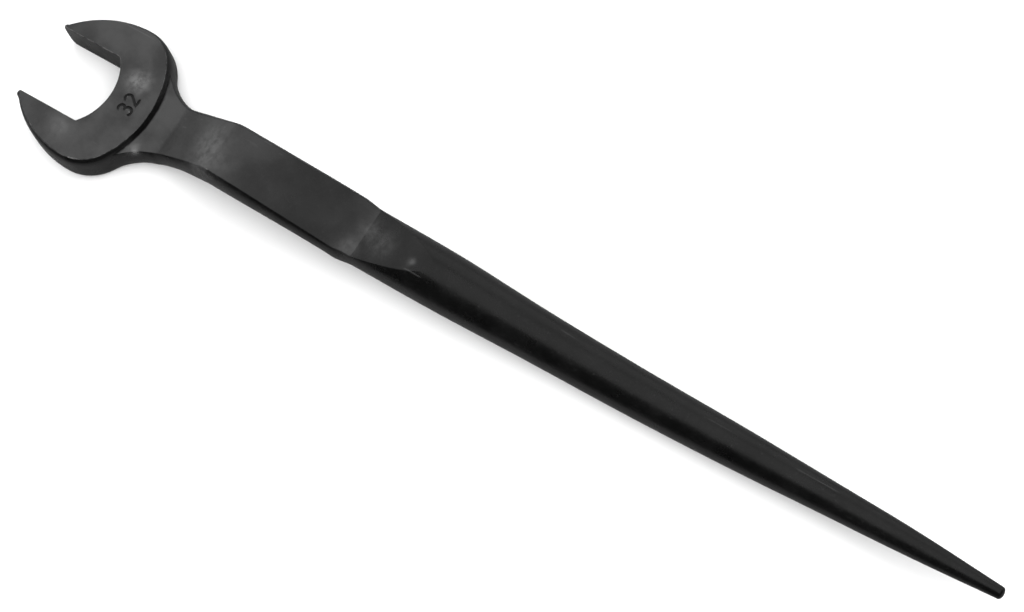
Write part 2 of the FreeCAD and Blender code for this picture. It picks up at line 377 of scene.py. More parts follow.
        face_outer = outer - outer_normal * rim
        face_inner = inner - inner_normal * lip
        steps = np.r_[0, 0.02, np.linspace(0.07, 0.93, self.across - 4), 0.98, 1]
        face = face_inner[:, None] + (face_outer - face_inner)[:, None] * steps[None, :, None]
        upper = self.flat_points(face, self.height)
        lower = self.flat_points(face[:, ::-1], 0.0)
        inner_wall = np.stack(inner_wall, axis=1)
        outer_wall = np.stack(outer_wall, axis=1)
        count = self.on_corner + 2
        corners = [
            corner_curve(before, self.level_points(sharp, np.full(len(sharp), height)), after, count)
            for before, sharp, height, after in (
                (inner_wall[:, -1], inner, self.height, upper[:, 0]),
                (upper[:, -1], outer, self.height, outer_wall[:, -1]),
                (outer_wall[:, 0], outer, 0.0, lower[:, 0]),
                (lower[:, -1], inner, 0.0, inner_wall[:, 0]),
            )
        ]
        lip_top, rim_top, rim_low, lip_low = (corner[:, 1:-1] for corner in corners)
        around = [inner_wall, lip_top, upper, rim_top, outer_wall[:, ::-1], rim_low, lower, lip_low]
        body = np.concatenate(around, axis=1)
        return np.concatenate([self.nose(body[0])[::-1], body, self.nose(body[-1])])

    @staticmethod
    def level_points(flat: Array, height: Array) -> Array:
        """Plan points given a height each."""
        return np.column_stack([flat, height])

    @staticmethod
    def flat_points(face: Array, height: float) -> Array:
        """Plan points of a face, all at one height."""
        return np.concatenate([face, np.full((*face.shape[:2], 1), height)], axis=2)

    def nose(self, tip: Array) -> Array:
        """Half-round end on a jaw: section by section it narrows by cos and moves out by sin.

        Each point draws in towards the middle between itself and the point across from it, and
        goes out along -X by half the width at its height, until both sides meet.

        Args:
            tip: the jaw's last section.

        Returns:
            The rings past it.
        """
        wall = 2 * (self.up_wall + self.on_corner) + self.across
        foot = 2 * self.on_corner + self.across
        partner = np.r_[np.arange(wall)[::-1], wall + np.arange(foot)[::-1]]
        centre = 0.5 * (tip + tip[partner])
        half = np.abs(tip - centre)[:, 1]
        for start in (self.up_wall + self.on_corner, wall + self.on_corner):
            half[start : start + self.across] = half[start]
        turn = np.radians([18, 36, 54, 72, 90])[:, None, None]
        rings = centre + (tip - centre) * np.cos(turn)
        rings[:, :, 0] -= half * np.sin(turn)[:, :, 0]
        return rings

    def build(self) -> bpy.types.Object:
        """The head's closed skin."""
        return tube_object("head_blank", self.rings(), capped=False)


@dataclass
class Shaft:
    """Neck, flat shank and round drift handle: one row of sections along X.

    Each section has a flat above and below and a round side between them. On the handle the
    flats shrink to nothing and the section is a circle.
    """

    head: Head
    tip_at: float
    crown: float
    start_at: float = 22.0
    flat_end: float = 143.0
    runout_end: float = 175.0
    root_top: float = 13.3
    root_bottom: float = 2.3
    half_width: float = 12.75
    shank_half_width: float = 13.35
    root_half_width: float = 24.0
    root_arc: float = 25.0
    root_arc_at: float = 50.0
    root_fillet: float = 1.7
    fillet_from_wall: float = 0.45
    fillet_reach: float = 14.0
    edge_round: float = 0.36
    tip_round: float = 1.4
    neck_line: tuple[float, float, float] = (48.0, 15.0, 0.62)
    shank_line: tuple[float, float, float] = (90.0, 30.2, -0.157)
    thickness: tuple[tuple[float, float], ...] = (
        (22, 11.0), (44, 11.2), (58, 10.3), (76, 15.8), (100, 13.4), (122, 10.9), (143, 10.7),
    )
    handle_radius: tuple[tuple[float, float], ...] = (
        (143, 12.3), (180, 12.0), (220, 10.5), (265, 9.4), (310, 8.25), (350, 6.6), (385, 5.1),
        (424.5, 2.4),
    )
    handle_height: tuple[tuple[float, float], ...] = (
        (143, 16.9), (180, 15.1), (220, 12.0), (265, 9.7), (310, 10.6), (350, 12.0), (385, 13.0),
        (424.5, 13.2),
    )
    stand_in: tuple[tuple[float, float], ...] = (
        (22, 1.1), (32, 1.1), (48, 1.9), (76, 2.3), (110, 1.9), (134, 1.5), (143, 1.3),
    )
    on_flat: int = 9
    on_corner: int = 5
    on_side: int = 10

    def stations(self) -> Array:
        """Places of the sections: close together at the bends, the valley and the tip."""
        return stretch(
            (self.start_at, 28, 1.5), (28, 50, 0.5), (50, 68, 0.9), (68, 84, 0.5),
            (84, 134, 1.2), (134, 141.5, 0.7), (141.5, 144.5, 0.2), (144.5, 168, 0.6),
            (168, 178, 0.4), (178, 200, 0.9), (200, 400, 1.3),
            (400, self.tip_at - self.tip_round, 0.8),
        )

    def line(self, spec: tuple[float, float, float], x: Array) -> Array:
        """Straight line through (place, height) at a slope."""
        at, height, slope = spec
        return height + slope * (x - at)

    def tongue(self, x: Array) -> Array:
        """Flat that rises out of the valley over the round handle, easing a little as it goes."""
        t = (x - self.flat_end) / (self.runout_end - self.flat_end)
        return self.valley + (self.runout_height - self.valley) * (1.22 * t - 0.22 * t * t)

    @property
    def valley(self) -> float:
        """Height of the crease where the shank's flat meets the run-out."""
        return float(self.line(self.shank_line, np.array(self.flat_end)))

    @property
    def runout_height(self) -> float:
        """Height at which the run-out leaves the round handle."""
        end = np.array([self.runout_end])
        return float((through(self.handle_height, end) + through(self.handle_radius, end))[0])

    def top(self, x: Array) -> Array:
        """Height of the upper flat: root, neck, shank and run-out lines, blended where they meet.

        Args:
            x: places along the wrench.

        Returns:
            The height at each place.
        """
        neck = blend_max(np.full_like(x, self.root_top), self.line(self.neck_line, x), 0.8)
        bend = blend_min(neck, self.line(self.shank_line, x), 1.5)
        height = blend_max(bend, self.tongue(np.minimum(x, self.runout_end)), 0.12)
        crest = through(self.handle_height, x) + through(self.handle_radius, x)
        height = np.where(x < self.runout_end, height, crest)
        return np.minimum(height, self.crown)

    def bottom(self, x: Array) -> Array:
        """Height of the lower flat: the upper one less the thickness, then the mirrored run-out."""
        blade = self.top(x) - through(self.thickness, x)
        runout = 2 * through(self.handle_height, x) - self.top(x)
        share = smooth_step(self.flat_end - 14, self.flat_end, x)
        return blade + (runout - blade) * share

    def width(self, x: Array) -> Array:
        """Half width: the root's concave arc, the blade, then an ease in to the handle."""
        arc_y = self.half_width + self.root_arc
        drop = np.clip(self.root_arc**2 - (x - self.root_arc_at) ** 2, 0, None)
        root = np.where(x < self.root_arc_at, arc_y - np.sqrt(drop), self.half_width)
        root = np.minimum(root, self.root_half_width)
        blade = root + (self.shank_half_width - self.half_width) * smooth_step(58, 82, x)
        radius = through(self.handle_radius, x)
        share = smooth_step(self.flat_end - 9, self.flat_end + 1, x)
        return blade + (radius - blade) * share

    def flat_width(self, x: Array, side: Side) -> Array:
        """Half width of a flat, which is the chord that the flat cuts from the round beyond it.

        Args:
            x: places along the wrench.
            side: the upper or the lower flat.

        Returns:
            The half width, which shrinks to nothing at the run-out's end and then marks off an
            even share of the round section.
        """
        blade = self.width(x) - through(self.stand_in, x)
        radius = through(self.handle_radius, x)
        flat = self.top(x) if side is Side.TOP else self.bottom(x)
        rise = np.abs(flat - through(self.handle_height, x))
        chord = np.sqrt(np.clip(radius**2 - rise**2, 0, None))
        share = smooth_step(self.flat_end - 8, self.flat_end, x)
        width = blade + (chord - blade) * share
        least = 0.3 * smooth_step(self.flat_end + 12, self.runout_end - 4, x)
        least = least + 0.25 * smooth_step(self.runout_end, self.runout_end + 16, x)
        return np.maximum(width, radius * np.maximum(least, 0.03))

    def quarter(self, x: Array, side: Side) -> Array:
        """One quarter of every section on the +Y side, from its middle out to its widest point.

        The flat runs to its edge, a small rounding follows, then an arc that is upright where
        it reaches the half width: radius = (rise^2 + stand^2) / (2 stand).

        Args:
            x: places of the sections.
            side: the upper or the lower quarter.

        Returns:
            Points of shape (sections, points, 3).
        """
        middle = self.middle(x)
        wide = self.width(x)
        edge = self.flat_width(x, side)
        round_over = np.minimum(self.edge_round, 0.4 * edge)
        even = (edge - 1.35 * round_over)[:, None] * np.linspace(0, 1, self.on_flat - 1)
        across = np.column_stack([even, edge - round_over])
        flat = np.stack([across, self.flat_height(x, across, side)], axis=2)
        edge_height = self.flat_height(x, edge[:, None], side)[:, 0]
        rise = np.abs(edge_height - middle)
        stand = np.maximum(wide - edge, 0.05)
        arc = (rise**2 + stand**2) / (2 * stand)
        sweep = np.arctan2(rise, arc - stand)
        used = np.clip(round_over / arc, 0, 0.4 * sweep)
        turn = (sweep - used)[:, None] * np.linspace(1, 0, self.on_side)[None, :]
        side_y = (wide - arc)[:, None] + arc[:, None] * np.cos(turn)
        side_z = middle[:, None] + side.value * arc[:, None] * np.sin(turn)
        side_arc = np.stack([side_y, side_z], axis=2)
        corner = np.stack([edge, edge_height], axis=1)
        rounding = corner_curve(flat[:, -1], corner, side_arc[:, 0], self.on_corner)
        plane = np.concatenate([flat, rounding[:, 1:-1], side_arc], axis=1)
        along = np.broadcast_to(x[:, None, None], (*plane.shape[:2], 1))
        return np.concatenate([along, plane], axis=2)

    def flat_height(self, x: Array, y: Array, side: Side) -> Array:
        """Height of the flat, or of the round handle past the shank where that is nearer in.

        Args:
            x: places of the sections.
            y: places across each section, a row for each.
            side: the upper or the lower flat.

        Returns:
            The height at each place.
        """
        flat_at = self.top(x) if side is Side.TOP else self.bottom(x)
        radius = through(self.handle_radius, x)[:, None]
        drop = np.sqrt(np.clip(radius**2 - y**2, 0, None))
        arched = through(self.handle_height, x)[:, None] + side.value * drop
        level = np.broadcast_to(flat_at[:, None], y.shape)
        nearer = np.where(side.value * (arched - level) < 0, arched, level)
        return np.where(x[:, None] > self.flat_end, nearer, level)

    def middle(self, x: Array) -> Array:
        """Height of the widest line, halfway between the flats."""
        return 0.5 * (self.top(x) + self.bottom(x))

    def rings(self) -> Array:
        """Whole sections: the four quarters joined, then a rounded tip."""
        x = self.stations()
        upper = self.quarter(x, Side.TOP)
        lower = self.quarter(x, Side.BOTTOM)
        mirror = np.array([1.0, -1.0, 1.0])
        ring = np.concatenate(
            [
                upper,
                lower[:, -2::-1],
                (lower * mirror)[:, 1:],
                (upper * mirror)[:, -2:0:-1],
            ],
            axis=1,
        )
        ring = self.fillet_to_head(ring)
        return np.concatenate([ring, self.tip_rings(ring[-1])])

    def fillet_to_head(self, ring: Array) -> Array:
        """Sweep both flats of the root up to the head's wall in a round of radius root_fillet.

        Args:
            ring: the sections before the fillet.

        Returns:
            The sections, with the root's flats raised near the wall by radius less the root of
            (radius^2 - (radius - distance)^2).
        """
        flat = ring.reshape(-1, 3)
        from_wall = self.head.outside(flat[:, :2]) - self.fillet_from_wall
        away = np.clip(from_wall, 0, self.root_fillet)
        lift = self.root_fillet - np.sqrt(self.root_fillet**2 - (self.root_fillet - away) ** 2)
        near = flat[:, 0] < self.head.back_at + self.fillet_reach
        centre = self.middle(flat[:, 0])
        half = 0.5 * (self.top(flat[:, 0]) - self.bottom(flat[:, 0]))
        share = np.clip((flat[:, 2] - centre) / half, -1, 1)
        moved = flat.copy()
        moved[:, 2] += np.where(near, lift * share * np.abs(share), 0.0)
        return moved.reshape(ring.shape)

    def tip_rings(self, last: Array) -> Array:
        """Rounded end: the last section shrunk by cos and moved on by sin of the same angle."""
        turn = np.radians([14, 28, 42, 55, 67, 78, 86])
        centre = last.mean(axis=0)
        rings = centre + (last - centre) * np.cos(turn)[:, None, None]
        rings[:, :, 0] = last[0, 0] + (self.tip_at - last[0, 0]) * np.sin(turn)[:, None]
        return rings

    def build(self) -> bpy.types.Object:
        """The shaft's closed skin."""
        return tube_object("shaft_blank", self.rings())


@dataclass
class SizeMark:
    """The opening in millimetres, punched into the head with rounded V-shaped strokes."""

    face: float
    centre: tuple[float, float] = (24.6, 0.3)
    digit_height: float = 6.2
    digit_width: float = 3.5
    gap: float = 1.5
    stroke: float = 0.58
    depth: float = 0.42

    def three(self) -> Array:
        """A figure 3: two open arcs that meet at half height, from below left to above left."""
        low = np.radians(np.linspace(-150, 90, 26))
        high = np.radians(np.linspace(-90, 145, 24))
        lower = np.stack([0.5 + 0.5 * np.cos(low), 0.28 + 0.28 * np.sin(low)], axis=1)
        upper = np.stack([0.5 + 0.44 * np.cos(high), 0.78 + 0.22 * np.sin(high)], axis=1)
        return np.concatenate([lower, upper[1:]])

    def two(self) -> Array:
        """A figure 2: an arc over the top, a slope down to the left, and a straight foot."""
        turn = np.radians(np.linspace(160, -38, 26))
        arc = np.stack([0.5 + 0.46 * np.cos(turn), 0.73 + 0.27 * np.sin(turn)], axis=1)
        corner = np.array([0.03, 0.0])
        slope = arc[-1] + (corner - arc[-1]) * np.linspace(0, 1, 12)[1:, None]
        foot = corner + np.array([0.97, 0.0]) * np.linspace(0, 1, 9)[1:, None]
        return np.concatenate([arc, slope, foot])

    def stroke_rings(self, path: Array, offset: float) -> Array:
        """Groove cutter along a figure's path, on the face.

        Every ring is a V with a rounded foot: across = stroke half width times (-1 .. 1), down =
        depth (1 - across^2), with a lid above the face. Its size falls to a point at both ends.

        Args:
            path: the figure in a unit box, X to the right and Y up.
            offset: where the figure's left side stands on the line of writing.

        Returns:
            Rings in millimetres.
        """
        size = np.array([self.digit_width, self.digit_height])
        flat = path * size + np.array([offset, 0.0])
        step = np.gradient(flat, axis=0)
        step /= np.linalg.norm(step, axis=1)[:, None]
        normal = np.stack([-step[:, 1], step[:, 0]], axis=1)
        run = np.concatenate([[0], np.cumsum(np.linalg.norm(np.diff(flat, axis=0), axis=1))])
        from_end = np.minimum(run, run[-1] - run)
        size_here = 0.3 + 0.7 * np.sqrt(np.clip(from_end / (1.2 * self.stroke), 0, 1))
        across = np.linspace(-1, 1, 9)
        down = self.depth * (1 - np.abs(across) ** 1.6)
        wide = np.concatenate([across, [1.15, -1.15]]) * self.stroke
        deep = np.concatenate([-down, [0.5, 0.5]])
        place = flat[:, None] + normal[:, None] * (wide[None, :, None] * size_here[:, None, None])
        lift = np.where(deep < 0, deep * size_here[:, None], deep)
        across_x = self.centre[0] + self.digit_height / 2 - place[:, :, 1]
        width = 2 * self.digit_width + self.gap
        across_y = self.centre[1] - width / 2 + place[:, :, 0]
        return np.stack([across_x, across_y, self.face + lift], axis=2)

    def build(self) -> list[bpy.types.Object]:
        """The two figures' cutters."""
        second = self.digit_width + self.gap
        return [
            tube_object("mark_three", self.stroke_rings(self.three(), 0.0)),
            tube_object("mark_two", self.stroke_rings(self.two(), second)),
        ]


@dataclass(frozen=True)
class Spot:
    """A local mark, such as a nick or a pale patch of thinned oxide and painted highlight: where it
    is, how wide and how strong, fading as a bell curve.
    """

    at: tuple[float, float, float]
    radius: float
    amount: float

    def fade(self, points: Array, spread: float = 1.0) -> Array:
        """Share left at each point: exp(-(distance / (spread radius))^2)."""
        away = np.linalg.norm(points - np.array(self.at), axis=1)
        return np.exp(-((away / (spread * self.radius)) ** 2))


@dataclass
class Forging:
    """The whole wrench: head and shaft in one skin, marked, worn and given its finish.

    A nick's amount is its depth in millimetres, and a pale patch's is how much paler it makes
    the skin there, from 0 to 1, partly thinned oxide and partly painted highlight.
    """

    tip_at: float
    crown: float
    height: float = 16.0
    shank_face_end: float = 142.5
    runout_face_end: float = 172.0
    mark_reach: float = 7.0
    soft_depth: float = 0.035
    wave_lengths: tuple[float, ...] = (9.0, 13.0, 17.0, 24.0, 31.0)
    # How pale the ground faces are along X: partly the grinding's own paler tone, partly painted
    # light and shade, lighter at the head and the run-out's start, darker along the shank.
    paleness_and_painted_light: tuple[tuple[float, float], ...] = (
        (-22, 1.0), (36, 1.0), (60, 0.85), (76, 0.8), (92, 0.45), (136, 0.35), (146, 0.75),
        (158, 0.65), (168, 0.15), (172, 0.0),
    )
    nicks: tuple[Spot, ...] = (
        Spot((18.6, -29.9, 15.9), 1.6, 0.22),
        Spot((16.2, -30.6, 15.9), 1.0, 0.16),
        Spot((-6.0, -25.6, 15.9), 0.9, 0.12),
        Spot((44.5, -12.4, 13.2), 1.2, 0.2),
        Spot((76.2, -11.0, 31.6), 1.3, 0.25),
        Spot((142.6, -11.6, 22.2), 1.2, 0.2),
        Spot((168.0, -2.5, 26.3), 1.4, 0.18),
        Spot((96.0, 3.0, 29.2), 1.5, 0.05),
        Spot((7.5, 16.3, 15.9), 0.8, 0.12),
        Spot((251.0, -4.0, 19.0), 1.6, 0.05),
        Spot((322.0, 1.0, 18.8), 1.3, 0.05),
    )
    # Pale patches, partly thinned oxide and partly painted highlight: the broad ones on the head's
    # face, by the neck's bend and over the run-out paint the sheen of light there.
    pale_patches_and_highlights: tuple[Spot, ...] = (
        Spot((22.5, 10.8, 16.0), 4.8, 0.9),
        Spot((5.0, -21.0, 16.0), 4.0, 0.35),
        Spot((37.0, -14.5, 14.0), 2.2, 0.9),
        Spot((72.0, -6.0, 30.0), 8.0, 0.4),
        Spot((68.0, 3.0, 27.5), 7.0, 0.3),
        Spot((140.5, -8.0, 22.6), 3.5, 0.25),
        Spot((144.0, 2.0, 22.6), 4.0, 0.25),
        Spot((152.0, -1.0, 24.0), 5.0, 0.2),
        Spot((167.5, -2.0, 26.2), 1.3, 0.35),
    )

    def build(self, finish: "BlackOxide") -> bpy.types.Object:
        """Join, mark, wear and dress the forging.

        Args:
            finish: the black oxide over the whole skin.

        Returns:
            The finished piece.
        """
        head = Head(self.height)
        blank = head.build()
        shaft = Shaft(head, tip_at=self.tip_at, crown=self.crown).build()
        mark = SizeMark(self.height)
        piece = self.combine(blank, [shaft], "UNION")
        piece = self.combine(piece, mark.build(), "DIFFERENCE")
        piece.name = "wrench"
        piece.data.name = "wrench"
        self.wear(piece.data)
        self.mark_surfaces(piece.data, mark)
        piece.data.polygons.foreach_set("use_smooth", [True] * len(piece.data.polygons))
        piece.data.materials.clear()
        piece.data.materials.append(finish.material())
        piece.data.update()
        return piece

    @staticmethod
    def combine(
        base: bpy.types.Object, others: list[bpy.types.Object], operation: str
    ) -> bpy.types.Object:
        """Join or cut closed skins into one and clear the others away.

        Args:
            base: the skin to work on.
            others: the skins to add or take away, in order.
            operation: UNION or DIFFERENCE.

        Returns:
            A new object with the result in its mesh.
        """
        for other in others:
            step = base.modifiers.new(other.name, "BOOLEAN")
            step.operation = operation
            step.solver = "EXACT"
            step.use_self = operation == "DIFFERENCE"
            step.object = other
        bpy.context.view_layer.update()
        graph = bpy.context.evaluated_depsgraph_get()
        mesh = bpy.data.meshes.new_from_object(base.evaluated_get(graph))
        result = bpy.data.objects.new(base.name + "_joined", mesh)
        bpy.context.scene.collection.objects.link(result)
        for used in (base, *others):
            old = used.data
            bpy.data.objects.remove(used)
            bpy.data.meshes.remove(old)
        clean(mesh)
        return result

    def wear(self, mesh: bpy.types.Mesh) -> None:
        """Push points in along their normals: a forging's shallow unevenness, then the nicks.

        The unevenness is the mean of waves of different directions and lengths. Everything goes
        inwards, so nothing grows, and the jaw's own flats stay true.

        Args:
            mesh: the joined skin.
        """
        points = mesh_points(mesh) / MM
        normals = mesh_normals(mesh)
        random = np.random.default_rng(7)
        waves = random.normal(size=(len(self.wave_lengths), 3))
        waves /= np.linalg.norm(waves, axis=1)[:, None]
        waves *= (2 * np.pi / np.array(self.wave_lengths))[:, None]
        phase = random.uniform(0, 2 * np.pi, len(self.wave_lengths))
        uneven = np.sin(points @ waves.T + phase).mean(axis=1)
        depth = self.soft_depth * (1 + uneven)
        in_jaw = (np.abs(points[:, 1]) < 16.5) & (points[:, 0] < 16.0) & (points[:, 2] < 16.1)
        depth = np.where(in_jaw, 0.0, depth)
        for nick in self.nicks:
            depth = depth + nick.amount * nick.fade(points)
        points = points - normals * depth[:, None]
        mesh.vertices.foreach_set("co", (points * MM).ravel())
        mesh.update()

    def mark_surfaces(self, mesh: bpy.types.Mesh, mark: SizeMark) -> None:
        """Write the four point attributes that the finish reads.

        edge_wear is how rubbed the edges are. ground_flat_and_painted_light is how pale the ground
        faces of the head, neck, shank and run-out are, and 0 elsewhere; along the wrench it is
        graded as painted light and shade, lighter at the head and the run-out's start and darker
        along the shank. thin_oxide_and_highlight is the sum of the pale patches, partly thinned
        oxide and partly painted highlight. in_mark is 1 down in the strokes of the size mark.

        Args:
            mesh: the worn skin.
            mark: the size mark that was cut into it.
        """
        points = mesh_points(mesh) / MM
        normals = mesh_normals(mesh)
        along, facing = points[:, 0], np.abs(normals[:, 2])
        on_blade = smooth_step(0.80, 0.9, facing) * (along < self.shank_face_end)
        on_tongue = smooth_step(0.985, 0.992, facing) * (along < self.runout_face_end)
        thin = sum(patch.amount * patch.fade(points) for patch in self.pale_patches_and_highlights)
        near_mark = np.hypot(*(points[:, :2] - np.array(mark.centre)).T) < self.mark_reach
        sunk = smooth_step(0.06, 0.16, self.height - points[:, 2]) * near_mark
        surfaces = {
            "edge_wear": self.edge_wear(mesh, points, normals),
            # Ground faces, with painted light and shade graded along the wrench.
            "ground_flat_and_painted_light": np.maximum(on_blade, on_tongue) * through(self.paleness_and_painted_light, along),
            # Pale patches: thinned oxide and painted highlight.
            "thin_oxide_and_highlight": thin,
            "in_mark": sunk * smooth_step(12, 14, points[:, 2]),
        }
        for name, values in surfaces.items():
            layer = mesh.attributes.new(name, "FLOAT", "POINT")
            layer.data.foreach_set("value", np.clip(values, 0, 1).astype(np.float32))

    def edge_wear(self, mesh: bpy.types.Mesh, points: Array, normals: Array) -> Array:
        """How rubbed each point is, from how convex the skin is there and from the nicks.

        Convexity is the mean over a point's edges of (difference of normals) . (difference of
        places) / length^2, then spread a little to the neighbours. Past the
        shank the flats' edges are too soft to catch any wear.

        Args:
            mesh: the worn skin.
            points: its points in millimetres, one a row.
            normals: its point normals, one a row.

        Returns:
            The wear at each point.
        """
        ends = np.empty(len(mesh.edges) * 2, dtype=np.int32)
        mesh.edges.foreach_get("vertices", ends)
        a, b = ends.reshape(-1, 2).T
        gap = points[b] - points[a]
        length = np.maximum((gap**2).sum(axis=1), 1e-6)
        bend = ((normals[b] - normals[a]) * gap).sum(axis=1) / length
        convex = self.mean_of_neighbours(bend, bend, a, b, len(points))
        wear = smooth_step(0.35, 1.9, convex)
        for _ in range(2):
            around = self.mean_of_neighbours(wear[b], wear[a], a, b, len(points))
            wear = np.maximum(wear * 0.9, 0.6 * around + 0.4 * wear)
        wear = wear * (1 - smooth_step(160, 168, points[:, 0]))
        for nick in self.nicks:
            wear = wear + 0.6 * nick.fade(points, 0.8)
        return wear

    @staticmethod
    def mean_of_neighbours(to_a: Array, to_b: Array, a: Array, b: Array, count: int) -> Array:
        """Mean of what the edges bring to each point.

        Args:
            to_a: value that each edge brings to its first point.
            to_b: value that each edge brings to its second point.
            a: first point of each edge.
            b: second point of each edge.
            count: number of points.

        Returns:
            The mean at each point.
        """
        total = np.bincount(a, to_a, count) + np.bincount(b, to_b, count)
        edges = np.bincount(a, minlength=count) + np.bincount(b, minlength=count)
        return total / np.maximum(edges, 1)


# ---------------------------------------------------------------- finishes


class Nodes:
    """A material's node tree, with short calls for the nodes that the finishes use."""

    def __init__(self, name: str) -> None:
        """Start a material with its Principled shader and its object coordinates."""
        self.material = bpy.data.materials.new(name)
        self.material.use_nodes = True
        self.tree = self.material.node_tree
        self.shader = self.tree.nodes["Principled BSDF"]
        self.place = self.add("ShaderNodeTexCoord").outputs["Object"]

    def add(self, kind: str, **settings: object) -> bpy.types.Node:
        """A node with its settings."""
        node = self.tree.nodes.new(kind)
        for key, value in settings.items():
            setattr(node, key, value)
        return node

    def feed(self, source: object, target: bpy.types.NodeSocket) -> None:
        """Link an output to a socket, or set the socket to a number."""
        if isinstance(source, bpy.types.NodeSocket):
            self.tree.links.new(source, target)
        else:
            target.default_value = source

    def noise(
        self,
        scale: float,
        detail: float = 3.0,
        roughness: float = 0.55,
        stretch_by: tuple[float, float, float] = (1.0, 1.0, 1.0),
        turned: tuple[float, float, float] = (0.0, 0.0, 0.0),
    ) -> bpy.types.NodeSocket:
        """Noise on object coordinates.

        Args:
            scale: cells a metre.
            detail: octaves.
            roughness: weight of each further octave.
            stretch_by: scale of the pattern along each axis.
            turned: turn of the pattern about each axis, in degrees.

        Returns:
            The noise's value.
        """
        mapping = self.add("ShaderNodeMapping")
        mapping.inputs["Scale"].default_value = stretch_by
        mapping.inputs["Rotation"].default_value = [np.radians(turn) for turn in turned]
        self.feed(self.place, mapping.inputs["Vector"])
        node = self.add("ShaderNodeTexNoise")
        node.inputs["Scale"].default_value = scale
        node.inputs["Detail"].default_value = detail
        node.inputs["Roughness"].default_value = roughness
        self.feed(mapping.outputs["Vector"], node.inputs["Vector"])
        return node.outputs["Fac"]

    def remap(
        self, value: object, low: float, high: float, to_low: float, to_high: float
    ) -> bpy.types.NodeSocket:
        """Ease a value from one range to another, held at both ends."""
        node = self.add("ShaderNodeMapRange", interpolation_type="SMOOTHSTEP")
        for name, number in (
            ("From Min", low), ("From Max", high), ("To Min", to_low), ("To Max", to_high),
        ):
            node.inputs[name].default_value = number
        self.feed(value, node.inputs["Value"])
        return node.outputs["Result"]

    def math(self, operation: str, a: object, b: object) -> bpy.types.NodeSocket:
        """One sum on two values."""
        node = self.add("ShaderNodeMath", operation=operation)
        self.feed(a, node.inputs[0])
        self.feed(b, node.inputs[1])
        return node.outputs["Value"]

    def mix(self, share: object, a: object, b: object) -> bpy.types.NodeSocket:
        """Mix two colours."""
        node = self.add("ShaderNodeMix", data_type="RGBA")
        self.feed(share, node.inputs["Factor"])
        colour_a, colour_b = (s for s in node.inputs if s.type == "RGBA")
        self.feed(a, colour_a)
        self.feed(b, colour_b)
        return next(s for s in node.outputs if s.type == "RGBA")

    def attribute(self, name: str) -> bpy.types.NodeSocket:
        """Value of a point attribute."""
        return self.add("ShaderNodeAttribute", attribute_name=name).outputs["Fac"]

    def bump(self, height: object, depth_mm: float, under: object = None) -> bpy.types.NodeSocket:
        """Relief of a depth in millimetres, on top of another relief if one is given."""
        node = self.add("ShaderNodeBump")
        node.inputs["Strength"].default_value = 1.0
        node.inputs["Distance"].default_value = depth_mm * MM
        self.feed(height, node.inputs["Height"])
        if under is not None:
            self.feed(under, node.inputs["Normal"])
        return node.outputs["Normal"]


